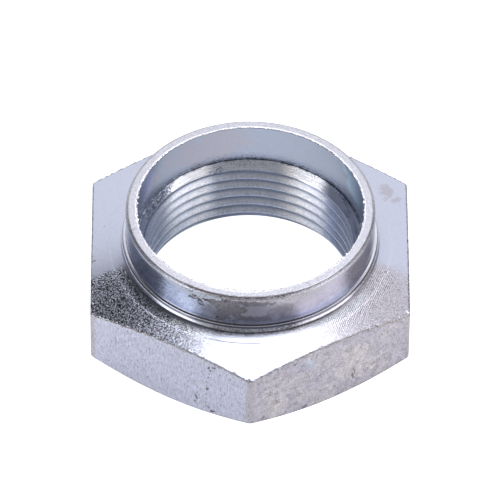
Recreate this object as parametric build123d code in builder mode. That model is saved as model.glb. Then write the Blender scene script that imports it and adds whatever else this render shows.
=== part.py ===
from build123d import *
import math
import os

# Wheel bearing nut, in millimetres: a hexagon steel nut with a thin round collar on its upper face. Once the
# nut is tight, the collar's edge is knocked into the groove of the axle, so the nut can't turn back.
# The origin is on the thread's axis, in the plane of the bearing face that the nut rests on. +Z points up to
# the collar's rim, two of the spanner flats face +X and -X, and two of the hexagon's corners are at +Y and -Y.

# Thread, cut in the bore. The bore stands here at the thread's minor diameter.
thread_diameter = 36.0
thread_pitch = 2.0
pitches_off_diameter = 1.0825  # thread diameter less minor diameter of a metric inside thread, in pitches

# Hexagon
across_flats = 52.0
corner_rounding = 0.8  # radius of the upright edges
hexagon_height = 14.85  # from the bearing face to where the upper cone, drawn on, meets the collar's root
upper_cone_angle = 15.0  # fall of the upper face towards the flats, in degrees
lower_chamfer_angle = 27.0  # rise of the lower chamfer towards the corners, in degrees
bearing_face_inset = 1.3  # from a flat to the edge of the bearing face

# Collar and its root
collar_height = 7.1  # rim above the hexagon's height
collar_wall = 1.8
rim_chamfer = 0.4  # outer edge of the rim
rim_edge_break = 0.08  # inner edge of the rim
root_step_width = 0.45  # flat step round the collar's foot
root_step_height = 1.1  # flat step above the hexagon's height
root_step_edge_radius = 0.15
root_fillet_radius = 0.8
root_slope_angle = 22.0  # fall of the surface just outside the root fillet, in degrees
root_slope_run = 0.1  # straight run of that slope
root_cove_radius = 13.0  # hollow that eases the slope into the upper cone

# Counterbore inside the collar, and the two openings of the thread. A clearance here is a radius
# less the thread's own radius.
counterbore_clearance = 0.57
counterbore_depth = 7.2
counterbore_fillet_radius = 0.4
lead_in_clearance = 0.25
lead_in_angle = 45.0  # from the axis, in degrees
countersink_clearance = 1.8
countersink_angle = 45.0  # from the axis, in degrees

# Radii of the half section
thread_radius = thread_diameter / 2
bore_radius = thread_radius - pitches_off_diameter * thread_pitch / 2
countersink_radius = thread_radius + countersink_clearance
lead_in_radius = thread_radius + lead_in_clearance
counterbore_radius = thread_radius + counterbore_clearance
collar_radius = counterbore_radius + collar_wall
root_radius = collar_radius + root_step_width
bearing_radius = across_flats / 2 - bearing_face_inset
blank_margin = 1.0
blank_radius = across_flats / math.sqrt(3) + blank_margin  # past the hexagon's corners

# Heights of the half section
rim_height = hexagon_height + collar_height
root_step_top = hexagon_height + root_step_height
counterbore_floor = rim_height - counterbore_depth
lead_in_depth = (lead_in_radius - bore_radius) / math.tan(math.radians(lead_in_angle))
countersink_depth = (countersink_radius - bore_radius) / math.tan(math.radians(countersink_angle))
cone_edge = hexagon_height - (blank_radius - root_radius) * math.tan(math.radians(upper_cone_angle))
chamfer_edge = (blank_radius - bearing_radius) * math.tan(math.radians(lower_chamfer_angle))

# A fillet is no larger than the step or the floor that it lies in
fillet_share = 0.95

# The root's two corners, before they are rounded: the foot of the step, and where the slope meets the cone
slope = math.radians(root_slope_angle)
cone = math.radians(upper_cone_angle)
fillet_tangent = math.tan((math.pi / 2 - slope) / 2)  # in fillet radii
cove_reach = root_cove_radius * math.tan((slope - cone) / 2) + root_slope_run
slope_rise = math.sin(slope) - math.cos(slope) * math.tan(cone)  # above the cone, in lengths along the slope
room_for_fillet = fillet_share * (root_step_height - root_step_edge_radius) - cove_reach * slope_rise
root_fillet = min(root_fillet_radius, room_for_fillet / (fillet_tangent * (1 + slope_rise)))
slope_length = root_fillet * fillet_tangent + cove_reach
slope_foot_radius = root_radius + slope_length * math.cos(slope)
slope_foot_height = hexagon_height - (slope_foot_radius - root_radius) * math.tan(cone)
step_foot_height = slope_foot_height + slope_length * math.sin(slope)

floor_width = counterbore_radius - lead_in_radius
counterbore_fillet = min(counterbore_fillet_radius, fillet_share * floor_width)

corner_turn = 30  # turns the hexagon from corners at +X and -X to flats there, in degrees


def corner(section, radius, height):
    """The section's corner at a radius and a height."""
    return section.vertices().sort_by_distance((radius, height))[0]


with BuildPart() as nut:
    # The turned blank, bored, counterbored and countersunk, as a half section swung round the axis
    with BuildSketch(Plane.XZ) as half_section:
        with BuildLine():
            Polyline(
                (countersink_radius, 0),
                (bearing_radius, 0),
                (blank_radius, chamfer_edge),
                (blank_radius, cone_edge),
                (slope_foot_radius, slope_foot_height),
                (root_radius, step_foot_height),
                (root_radius, root_step_top),
                (collar_radius, root_step_top),
                (collar_radius, rim_height),
                (counterbore_radius, rim_height),
                (counterbore_radius, counterbore_floor),
                (lead_in_radius, counterbore_floor),
                (bore_radius, counterbore_floor - lead_in_depth),
                (bore_radius, countersink_depth),
                close=True,
            )
        make_face()
        fillet(corner(half_section, slope_foot_radius, slope_foot_height), radius=root_cove_radius)
        fillet(corner(half_section, root_radius, step_foot_height), radius=root_fillet)
        fillet(corner(half_section, root_radius, root_step_top), radius=root_step_edge_radius)
        fillet(corner(half_section, counterbore_radius, counterbore_floor), radius=counterbore_fillet)
        chamfer(corner(half_section, collar_radius, rim_height), length=rim_chamfer)
        chamfer(corner(half_section, counterbore_radius, rim_height), length=rim_edge_break)
    revolve(axis=Axis.Z)

    # The six flats, cut over the whole height of the blank
    with BuildSketch(Plane.XY) as hexagon:
        RegularPolygon(radius=across_flats / 2, side_count=6, major_radius=False, rotation=corner_turn)
        fillet(hexagon.vertices(), radius=corner_rounding)
    extrude(amount=rim_height, mode=Mode.INTERSECT)

nut.part.label = "nut"
os.makedirs("parts", exist_ok=True)
export_step(nut.part, "parts/nut.step")
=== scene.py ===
"""Looks of a wheel bearing nut: a zinc-plated hexagon nut with a thin collar, lying on a pale floor."""
import logging
import math
from dataclasses import dataclass
from enum import Enum

import bpy
import numpy as np
from mathutils import Matrix, Vector


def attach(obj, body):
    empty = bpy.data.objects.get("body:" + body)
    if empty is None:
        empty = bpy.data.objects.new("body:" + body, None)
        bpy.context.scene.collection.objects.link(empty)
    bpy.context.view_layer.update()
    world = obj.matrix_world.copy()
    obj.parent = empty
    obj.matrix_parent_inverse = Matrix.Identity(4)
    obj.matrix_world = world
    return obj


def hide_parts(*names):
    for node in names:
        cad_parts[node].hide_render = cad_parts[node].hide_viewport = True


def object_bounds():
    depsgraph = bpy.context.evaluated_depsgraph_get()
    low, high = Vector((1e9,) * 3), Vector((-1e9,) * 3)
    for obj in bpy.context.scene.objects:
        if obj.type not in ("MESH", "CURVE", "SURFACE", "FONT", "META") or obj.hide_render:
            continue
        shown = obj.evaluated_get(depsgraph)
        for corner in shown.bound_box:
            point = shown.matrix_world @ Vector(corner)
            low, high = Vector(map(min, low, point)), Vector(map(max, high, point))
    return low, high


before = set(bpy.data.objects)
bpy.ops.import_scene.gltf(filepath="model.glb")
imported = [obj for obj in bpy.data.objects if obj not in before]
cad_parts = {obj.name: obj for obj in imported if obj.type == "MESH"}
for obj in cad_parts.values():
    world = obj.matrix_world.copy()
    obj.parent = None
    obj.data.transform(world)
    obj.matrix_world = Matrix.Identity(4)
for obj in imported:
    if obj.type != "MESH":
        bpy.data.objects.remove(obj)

CAD_LOW, CAD_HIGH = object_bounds()
MM = 0.001
IMAGE_SIDE = 500
LOG = logging.getLogger("nut")
NUMBER = "NodeSocketFloat"
VECTOR = "NodeSocketVector"
Pair = tuple[float, float]
Triple = tuple[float, float, float]


class Finish(Enum):
    """The surfaces of the nut that are finished apart, and their order in the mesh's materials."""

    CONE = 0
    RIM = 1
    COLLAR = 2
    FLATS = 3
    UNDERSIDE = 4
    COUNTERBORE = 5
    LEAD_IN = 6
    THREAD = 7


def smooth_step(low: float, high: float, values: np.ndarray) -> np.ndarray:
    """A soft step of each value, from 0 at low to 1 at high."""
    share = np.clip((values - low) / (high - low), 0, 1)
    return share * share * (3 - 2 * share)


def wander(angle: np.ndarray, seed: int, longest: int, shortest: int) -> np.ndarray:
    """An uneven line round the axis, made of waves of random height.

    Args:
        angle: angles round the axis, in radians.
        seed: number that the random heights start from.
        longest: how often the longest wave goes into a turn.
        shortest: how often the shortest wave goes into a turn.

    Returns:
        Numbers about 0, mostly between -1 and 1.
    """
    chance = np.random.default_rng(seed)
    waves = np.arange(longest, shortest)
    heights = chance.normal(size=len(waves)) / math.sqrt(len(waves))
    starts = chance.uniform(0, 2 * math.pi, size=len(waves))
    total = np.zeros(angle.shape)
    for wave, height, start in zip(waves, heights, starts):
        total += height * np.cos(wave * angle + start)
    return total


def deselect_all() -> None:
    """Leaves edit mode and deselects every object."""
    if bpy.context.object is not None and bpy.context.object.mode != "OBJECT":
        bpy.ops.object.mode_set(mode="OBJECT")
    bpy.ops.object.select_all(action="DESELECT")


def edit_all() -> None:
    """Enters edit mode with all of the active piece selected."""
    bpy.ops.object.mode_set(mode="EDIT")
    bpy.ops.mesh.select_all(action="SELECT")


def merge_near(distance: float) -> None:
    """Merges the active piece's vertices that lie closer together than this, in millimetres.

    Args:
        distance: the distance.
    """
    edit_all()
    bpy.ops.mesh.remove_doubles(threshold=distance * MM)
    bpy.ops.object.mode_set(mode="OBJECT")


def read_points(piece: bpy.types.Object) -> tuple[np.ndarray, np.ndarray, np.ndarray]:
    """The piece's vertices: radius and height in millimetres, and angle in radians.

    Args:
        piece: the piece.

    Returns:
        Radii, angles and heights.
    """
    points = np.zeros(len(piece.data.vertices) * 3)
    piece.data.vertices.foreach_get("co", points)
    x, y, z = points.reshape(-1, 3).T / MM
    return np.hypot(x, y), np.arctan2(y, x), z


def write_points(piece: bpy.types.Object, radius: np.ndarray, angle: np.ndarray, height: np.ndarray) -> None:
    """Puts the piece's vertices at these radii, angles and heights.

    Args:
        piece: the piece.
        radius: distances from the axis, in millimetres.
        angle: angles round the axis, in radians.
        height: heights above the bearing face, in millimetres.
    """
    points = np.column_stack([radius * np.cos(angle), radius * np.sin(angle), height])
    piece.data.vertices.foreach_set("co", (points * MM).ravel())
    piece.data.update()


@dataclass(frozen=True)
class Corner:
    """A corner of the half section, in millimetres.

    Attributes:
        radius: distance from the axis.
        height: height above the bearing face.
        rounding: radius of the arc in the corner, or 0.
        rows: rows of faces on the straight run that leads to the corner.
        arc_rows: rows of faces round the arc.
    """

    radius: float
    height: float
    rounding: float = 0.0
    rows: int = 1
    arc_rows: int = 3

    @property
    def spot(self) -> Vector:
        """Where it is: (radius, height)."""
        return Vector((self.radius, self.height))


def section_points(corners: list[Corner]) -> list[Pair]:
    """Draws the half section through its corners, with an arc in each rounded one.

    Args:
        corners: the corners in order. The first and the last are the open ends.

    Returns:
        Points (radius, height) along the section, in millimetres.
    """
    points = [corners[0].spot]
    for index in range(1, len(corners)):
        here = corners[index]
        arc = [here.spot]
        if here.rounding > 0:
            before = (corners[index - 1].spot - here.spot).normalized()
            after = (corners[index + 1].spot - here.spot).normalized()
            half_angle = before.angle(after) / 2
            tangent = here.rounding / math.tan(half_angle)
            centre = here.spot + (before + after).normalized() * (here.rounding / math.sin(half_angle))
            first = here.spot + before * tangent - centre
            turn = (here.spot + after * tangent - centre).angle_signed(first)
            shares = [step / here.arc_rows for step in range(here.arc_rows + 1)]
            arc = [centre + Matrix.Rotation(turn * share, 2) @ first for share in shares]
        start = points[-1]
        points.extend(start.lerp(arc[0], row / here.rows) for row in range(1, here.rows))
        points.extend(arc)
    return [(point.x, point.y) for point in points]


def draw_profile(points: list[Pair]) -> bpy.types.Object:
    """Draws a line of edges in the plane of X and Z: a plane is merged into a vertex, which is drawn out.

    Args:
        points: points (radius, height) along the line, in millimetres.

    Returns:
        The line, active and in object mode.
    """
    deselect_all()
    first = Vector((points[0][0], 0, points[0][1])) * MM
    bpy.ops.mesh.primitive_plane_add(size=MM, location=first)
    line = bpy.context.object
    bpy.ops.object.transform_apply(location=True, rotation=True, scale=True)
    edit_all()
    bpy.ops.mesh.merge(type="CENTER")
    for before, after in zip(points, points[1:]):
        step = Vector((after[0] - before[0], 0, after[1] - before[1])) * MM
        bpy.ops.mesh.extrude_region_move(TRANSFORM_OT_translate={"value": step})
    bpy.ops.object.mode_set(mode="OBJECT")
    return line


@dataclass
class NutBody:
    """The nut's one piece: a turned blank, milled to a hexagon, with its thread. Sizes are in millimetres.

    Down to blank_margin, names and numbers are those of the part's own source, except that the height and the
    width across flats come from the frame. The rest is for the turned line, worn edges, thread and mesh.
    """

    thread_diameter: float = 36.0
    thread_pitch: float = 2.0
    pitches_off_diameter: float = 1.0825
    across_flats: float = (CAD_HIGH.x - CAD_LOW.x) / MM
    rim_height: float = (CAD_HIGH.z - CAD_LOW.z) / MM
    corner_rounding: float = 0.8
    collar_height: float = 7.1
    upper_cone_angle: float = 15.0
    lower_chamfer_angle: float = 27.0
    bearing_face_inset: float = 1.3
    collar_wall: float = 1.8
    rim_chamfer: float = 0.4
    root_step_width: float = 0.45
    root_step_height: float = 1.1
    root_step_edge_radius: float = 0.15
    root_fillet_radius: float = 0.8
    root_slope_angle: float = 22.0
    root_slope_run: float = 0.1
    root_cove_radius: float = 13.0
    counterbore_clearance: float = 0.57
    counterbore_depth: float = 7.2
    lead_in_clearance: float = 0.25
    countersink_clearance: float = 1.8
    countersink_angle: float = 45.0
    blank_margin: float = 1.0
    line_radius: float = 22.97
    line_half_width: float = 0.07
    line_depth: float = 0.010
    edge_rounding: float = 0.12
    edge_band: float = 0.35
    corner_break: float = 0.4
    rim_burr: float = 0.16
    rim_burr_width: float = 0.13
    edge_burr: float = 0.09
    edge_burr_width: float = 0.16
    columns: int = 528
    corner_gather: float = 0.6
    sharp_angle: float = 38.0
    thread_phase: float = 1.07
    thread_profile: tuple[Pair, ...] = (
        (0.00, 0.00), (0.00, 0.14), (0.10, 0.27), (0.28, 0.45), (0.50, 0.67), (0.70, 0.90), (0.80, 1.08),
        (0.82, 1.26), (0.70, 1.42), (0.40, 1.70), (0.10, 1.93),
    )

    def __post_init__(self) -> None:
        """Works out the radii and heights that the section needs."""
        self.thread_radius = self.thread_diameter / 2
        self.bore_radius = self.thread_radius - self.pitches_off_diameter * self.thread_pitch / 2
        self.hexagon_height = self.rim_height - self.collar_height
        self.counterbore_radius = self.thread_radius + self.counterbore_clearance
        self.counterbore_floor = self.rim_height - self.counterbore_depth
        self.collar_radius = self.counterbore_radius + self.collar_wall
        self.root_radius = self.collar_radius + self.root_step_width
        self.root_step_top = self.hexagon_height + self.root_step_height
        self.lead_in_radius = self.thread_radius + self.lead_in_clearance
        self.countersink_radius = self.thread_radius + self.countersink_clearance
        self.bearing_radius = self.across_flats / 2 - self.bearing_face_inset
        self.half_flat = self.across_flats / math.sqrt(12)
        self.blank_radius = 2 * self.half_flat + self.blank_margin
        self.cone_slope = math.tan(math.radians(self.upper_cone_angle))
        self.chamfer_slope = math.tan(math.radians(self.lower_chamfer_angle))
        self.cone_edge = self.cone_height(self.blank_radius)
        self.chamfer_edge = (self.blank_radius - self.bearing_radius) * self.chamfer_slope

    def cone_height(self, radius: float) -> float:
        """Height of the upper cone at a radius."""
        return self.hexagon_height - (radius - self.root_radius) * self.cone_slope

    def cone_corner(self, radius: float, below: float = 0.0, rounding: float = 0.0, rows: int = 1,
                    arc_rows: int = 3) -> Corner:
        """A corner on the upper cone, or a little below it."""
        return Corner(radius, self.cone_height(radius) - below, rounding, rows, arc_rows)

    def corners(self) -> list[Corner]:
        """The blank's half section, from the thread's mouth over the collar and round to the countersink.

        Returns:
            The corners in order.
        """
        inner, outer, top = self.counterbore_radius, self.collar_radius, self.rim_height
        step_foot, slope_foot = self.root_corners()
        return [
            Corner(self.lead_in_radius, self.counterbore_floor),
            Corner(inner, self.counterbore_floor, 0.12),
            Corner(inner, top - 0.6, rows=6),
            Corner(inner, top, 0.06, 4),
            Corner(outer - self.rim_chamfer, top, 0.08, 7, 2),
            Corner(outer, top - self.rim_chamfer, 0.10, 1, 2),
            Corner(outer, self.root_step_top, 0.05, 6, 2),
            Corner(self.root_radius, self.root_step_top, self.root_step_edge_radius, 1, 5),
            Corner(step_foot.x, step_foot.y, self.root_fillet_radius, 1, 8),
            Corner(slope_foot.x, slope_foot.y, self.root_cove_radius, 1, 6),
            self.cone_corner(self.line_radius - self.line_half_width),
            self.cone_corner(self.line_radius, self.line_depth, 0.02, 1, 2),
            self.cone_corner(self.line_radius + self.line_half_width),
            self.cone_corner(self.blank_radius - self.edge_band, rows=9),
            self.cone_corner(self.blank_radius, 0.0, self.edge_rounding),
            self.cone_corner(self.blank_radius, self.edge_band),
            Corner(self.blank_radius, self.chamfer_edge, self.edge_rounding, 11),
            Corner(self.bearing_radius, 0, 0.3, 3),
            Corner(self.countersink_radius, 0, rows=2),
        ]

    def root_corners(self) -> tuple[Vector, Vector]:
        """The root's two sharp corners: the foot of the step, and where the slope meets the cone.

        Returns:
            Both corners as (radius, height), in millimetres.
        """
        slope = math.radians(self.root_slope_angle)
        cone = math.radians(self.upper_cone_angle)
        reach = self.root_cove_radius * math.tan((slope - cone) / 2) + self.root_slope_run
        reach += self.root_fillet_radius * math.tan((math.pi / 2 - slope) / 2)
        radius = self.root_radius + reach * math.cos(slope)
        height = self.cone_height(radius)
        return Vector((self.root_radius, height + reach * math.sin(slope))), Vector((radius, height))

    def gather_columns(self, angle: np.ndarray) -> np.ndarray:
        """Turns even angles, in radians, so that the columns of faces lie closer at the hexagon's corners."""
        return angle + self.corner_gather / 6 * np.sin(6 * angle)

    def hexagon_radius(self, angle: np.ndarray) -> np.ndarray:
        """Distance from the axis to the rounded hexagon.

        Args:
            angle: angles round the axis, in radians.

        Returns:
            Radii in millimetres.
        """
        sixth = math.pi / 3
        from_flat = np.mod(angle + sixth / 2, sixth) - sixth / 2
        flat = self.across_flats / 2 / np.cos(from_flat)
        from_corner = np.abs(np.abs(from_flat) - sixth / 2)
        arc_centre = (self.across_flats / 2 - self.corner_rounding) / math.cos(sixth / 2)
        reach = np.maximum(self.corner_rounding ** 2 - (arc_centre * np.sin(from_corner)) ** 2, 0)
        arc = arc_centre * np.cos(from_corner) + np.sqrt(reach)
        tangent = math.atan2(self.corner_rounding * math.sin(sixth / 2),
                             arc_centre + self.corner_rounding * math.cos(sixth / 2))
        return np.where(from_corner < tangent, arc, flat)

    def turn_blank(self) -> bpy.types.Object:
        """Turns the blank: the half section is spun round the axis.

        Returns:
            The blank, open where its thread will be.
        """
        blank = draw_profile(section_points(self.corners()))
        edit_all()
        bpy.ops.mesh.spin(steps=self.columns, angle=2 * math.pi, center=(0, 0, 0), axis=(0, 0, 1))
        merge_near(0.002)
        return blank

    def mill_flats(self, blank: bpy.types.Object) -> None:
        """Presses the blank's outside in to the six flats. The rows of faces keep their order.

        Rows at the edge move as one, and rows further in are drawn together. The upper corner at the back, at
        +Y, is then lowered a little.

        Args:
            blank: the turned blank.
        """
        radius, even, height = read_points(blank)
        angle = self.gather_columns(even)
        cut = self.blank_radius - self.hexagon_radius(angle)
        is_upper = height > (self.cone_edge + self.chamfer_edge) / 2
        kept = np.where(is_upper, self.line_radius + 0.5, self.bearing_radius + 0.3)
        edge = self.blank_radius - self.edge_band - 0.01
        drawn = kept + (radius - kept) * (edge - cut - kept) / (edge - kept)
        pressed = np.where(radius > edge, radius - cut, np.where(radius > kept, drawn, radius))
        share = np.clip((height - self.chamfer_edge) / (self.cone_edge - self.chamfer_edge), 0, 1)
        slope = self.cone_slope * share - self.chamfer_slope * (1 - share)
        height = height + (radius - pressed) * slope
        corner_radius = self.hexagon_radius(np.radians(30.0))
        at_back = smooth_step(self.across_flats / 2 - 1, self.across_flats / 2, pressed * np.sin(angle))
        at_corner = smooth_step(corner_radius - 0.9, corner_radius, pressed)
        write_points(blank, pressed, angle, height - self.corner_break * at_back * share * at_corner)

    def thread_section(self) -> list[Pair]:
        """The thread's profile, from one pitch below the bearing face to above the counterbore's floor.

        Returns:
            Points (radius, height) in millimetres, with the same rows in every pitch.
        """
        turns = math.ceil(self.counterbore_floor / self.thread_pitch)
        points = []
        for turn in range(-2, turns):
            start = turn * self.thread_pitch + self.thread_phase
            points.extend((self.bore_radius + deep, start + along) for deep, along in self.thread_profile)
        return [*points, (self.bore_radius, turns * self.thread_pitch + self.thread_phase)]

    def cut_thread(self) -> bpy.types.Object:
        """Screws the thread's profile up the bore, and ends it in the countersink and the lead-in.

        Returns:
            The threaded wall of the bore.
        """
        wall = draw_profile(self.thread_section())
        screw = wall.modifiers.new("Screw", "SCREW")
        screw.steps = self.columns
        screw.render_steps = self.columns
        screw.screw_offset = self.thread_pitch * MM
        screw.use_merge_vertices = False
        bpy.ops.object.modifier_apply(modifier=screw.name)
        self.end_thread(wall)
        merge_near(0.002)
        return wall

    def end_thread(self, wall: bpy.types.Object) -> None:
        """Cuts the thread off level at both ends and opens it into the countersink and the lead-in.

        Args:
            wall: the threaded wall of the bore.
        """
        radius, even, height = read_points(wall)
        angle = self.gather_columns(even)
        height = height + self.thread_pitch * (angle - even) / (2 * math.pi)
        height = np.clip(height, 0, self.counterbore_floor)
        lead_in = self.lead_in_radius - (self.counterbore_floor - height)
        countersink = self.countersink_radius - height * math.tan(math.radians(self.countersink_angle))
        write_points(wall, np.maximum(radius, np.maximum(lead_in, countersink)), angle, height)

    def close(self, blank: bpy.types.Object, wall: bpy.types.Object) -> bpy.types.Object:
        """Joins the threaded wall into the blank, so that the nut is one closed shell.

        Args:
            blank: the milled blank.
            wall: the threaded wall.

        Returns:
            The nut.
        """
        deselect_all()
        wall.select_set(True)
        blank.select_set(True)
        bpy.context.view_layer.objects.active = blank
        bpy.ops.object.join()
        merge_near(0.003)
        edit_all()
        bpy.ops.mesh.normals_make_consistent(inside=False)
        bpy.ops.object.mode_set(mode="OBJECT")
        return blank

    def wear_edges(self, nut: bpy.types.Object) -> None:
        """Leaves a ragged burr on the rim's inner edge, and a finer one where the flats cut the cone.

        Args:
            nut: the nut.
        """
        radius, angle, height = read_points(nut)
        off_rim = np.hypot(radius - self.counterbore_radius, height - self.rim_height)
        near_rim = np.exp(-(off_rim / self.rim_burr_width) ** 2)
        fine = wander(angle, seed=5, longest=60, shortest=260)
        slow = wander(angle, seed=6, longest=3, shortest=12)
        burr = np.maximum(fine + 0.5 * slow, 0) * self.rim_burr
        raised = 0.35 * (burr - 0.3 * self.rim_burr)
        height = height + raised * near_rim
        off_cone = np.abs(height - self.cone_height(radius))
        off_flat = np.abs(radius - self.hexagon_radius(angle))
        near_edge = np.exp(-((off_cone + off_flat) / self.edge_burr_width) ** 2)
        nick = wander(angle, seed=7, longest=50, shortest=262) * self.edge_burr
        pushed = radius - burr * near_rim + 0.5 * np.minimum(nick, 0) * near_edge
        write_points(nut, pushed, angle, height + nick * near_edge)

    def assign_finishes(self, nut: bpy.types.Object) -> None:
        """Gives each face its finish, by where it lies and which way it faces.

        Args:
            nut: the nut.
        """
        faces = nut.data.polygons
        centres = np.zeros(len(faces) * 3)
        normals = np.zeros(len(faces) * 3)
        faces.foreach_get("center", centres)
        faces.foreach_get("normal", normals)
        x, y, height = centres.reshape(-1, 3).T / MM
        aside, ahead, upward = normals.reshape(-1, 3).T
        radius = np.hypot(x, y)
        outward = (aside * x + ahead * y) / radius
        floor, room = self.counterbore_floor, 0.01
        lead_in_foot = floor - (self.lead_in_radius - self.bore_radius)
        on_top = (upward > 0.2) | (outward > 0.5)
        upright = (np.abs(upward) < 0.35) & (radius > self.line_radius + 2)
        in_step = (height > self.root_step_top - 0.06) & (radius < self.root_radius + room)
        inside = (outward < -0.3) & (radius < self.counterbore_radius + room)
        in_bore = (radius < self.counterbore_radius - 0.05) & (height < floor + room)
        in_thread = (height <= lead_in_foot) & (radius < self.thread_radius + room) & (height > 0.3)
        finish = np.full(len(faces), Finish.UNDERSIDE.value)
        for chosen, kind in (
            (on_top & (radius > self.collar_radius), Finish.CONE), (upright, Finish.FLATS),
            (on_top & in_step, Finish.COLLAR),
            (on_top & (height > self.rim_height - self.rim_chamfer - 0.06), Finish.RIM),
            (inside & (height > floor), Finish.COUNTERBORE),
            (in_bore & (height > lead_in_foot), Finish.LEAD_IN), (in_bore & in_thread, Finish.THREAD),
        ):
            finish[chosen] = kind.value
        faces.foreach_set("material_index", finish.astype(np.int32))

    def build(self) -> bpy.types.Object:
        """Makes the nut's mesh.

        Returns:
            The nut, in place, with smooth faces and sharp edges.
        """
        blank = self.turn_blank()
        self.mill_flats(blank)
        nut = self.close(blank, self.cut_thread())
        nut.name = "nut_body"
        nut.data.name = "nut_body"
        self.assign_finishes(nut)
        self.wear_edges(nut)
        deselect_all()
        nut.select_set(True)
        bpy.context.view_layer.objects.active = nut
        bpy.ops.object.shade_smooth_by_angle(angle=math.radians(self.sharp_angle))
        bpy.ops.object.modifier_add(type="WEIGHTED_NORMAL")
        weighted = nut.modifiers[-1]
        weighted.keep_sharp = True
        bpy.ops.object.modifier_apply(modifier=weighted.name)
        return nut


class Reading:
    """A number at each point of a surface. Its sums are Math nodes in its sheet."""

    def __init__(self, sheet: "NodeSheet", socket: bpy.types.NodeSocket) -> None:
        """Args:
            sheet: the tree that it is in.
            socket: the output that gives it.
        """
        self.sheet = sheet
        self.socket = socket

    def __add__(self, other: object) -> "Reading":
        """Both together."""
        return self.sheet.math("ADD", self, other)

    def __sub__(self, other: object) -> "Reading":
        """This less the other."""
        return self.sheet.math("SUBTRACT", self, other)

    def __rsub__(self, other: object) -> "Reading":
        """The other less this."""
        return self.sheet.math("SUBTRACT", other, self)

    def __mul__(self, other: object) -> "Reading":
        """This times the other."""
        return self.sheet.math("MULTIPLY", self, other)

    def __truediv__(self, other: object) -> "Reading":
        """This divided by the other."""
        return self.sheet.math("DIVIDE", self, other)

    def __abs__(self) -> "Reading":
        """Its distance from 0."""
        return self.sheet.math("ABSOLUTE", self)

    def most(self, other: object) -> "Reading":
        """The larger of both."""
        return self.sheet.math("MAXIMUM", self, other)

    def ramp(self, low: float, high: float) -> "Reading":
        """A soft step.

        Args:
            low: where the result is 0.
            high: where the result is 1. It may lie under low.

        Returns:
            The result.
        """
        node = self.sheet.add("ShaderNodeMapRange", interpolation_type="SMOOTHSTEP")
        rises = low < high
        values = {"Value": self, "From Min": min(low, high), "From Max": max(low, high),
                  "To Min": 0.0 if rises else 1.0, "To Max": 1.0 if rises else 0.0}
        for name, value in values.items():
            self.sheet.put(value, node.inputs[name])
        return Reading(self.sheet, node.outputs["Result"])


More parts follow.
